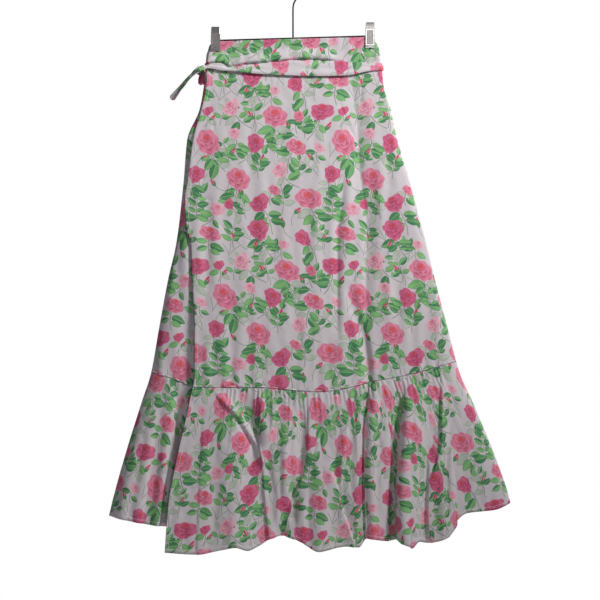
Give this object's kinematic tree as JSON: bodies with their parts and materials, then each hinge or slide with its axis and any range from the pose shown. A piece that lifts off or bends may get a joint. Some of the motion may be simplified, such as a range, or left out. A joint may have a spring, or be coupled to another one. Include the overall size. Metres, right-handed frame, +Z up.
{
  "type": "wrap skirt on a clip hanger",
  "caption": "Long flared cotton wrap skirt with a rose print, a gathered hem ruffle and a waist tie knotted at the side, hung flat by its waistband from a two-clip hanger.",
  "frame": {"origin": "inside top of the hanger's hook, where a rail holds it", "axes": "+Z up, -Y towards someone who looks at the skirt's front, +X to that person's right"},
  "size_m": [0.7839, 0.1305, 1.1172],
  "materials": {
    "rose_print_cotton": "printed plain-weave cotton",
    "dark_wire": "dull dark wire",
    "clip_chrome": "polished pressed sheet",
    "spring_steel": "dull spring steel"
  },
  "bodies": {
    "root": {"waistband": "rose_print_cotton", "over_panel": "rose_print_cotton", "under_panel": "rose_print_cotton", "back_panel": "rose_print_cotton", "over_ruffle": "rose_print_cotton", "under_ruffle": "rose_print_cotton", "back_ruffle": "rose_print_cotton", "tie_strip": "rose_print_cotton", "tie_knot": "rose_print_cotton", "tie_loop": "rose_print_cotton", "tie_tail": "rose_print_cotton", "hanger_rod": "dark_wire", "hanger_hook": "dark_wire", "clip_left_front": "clip_chrome", "clip_left_back": "clip_chrome", "clip_left_spring": "spring_steel", "clip_right_front": "clip_chrome", "clip_right_back": "clip_chrome", "clip_right_spring": "spring_steel"}
  },
  "joints": []
}
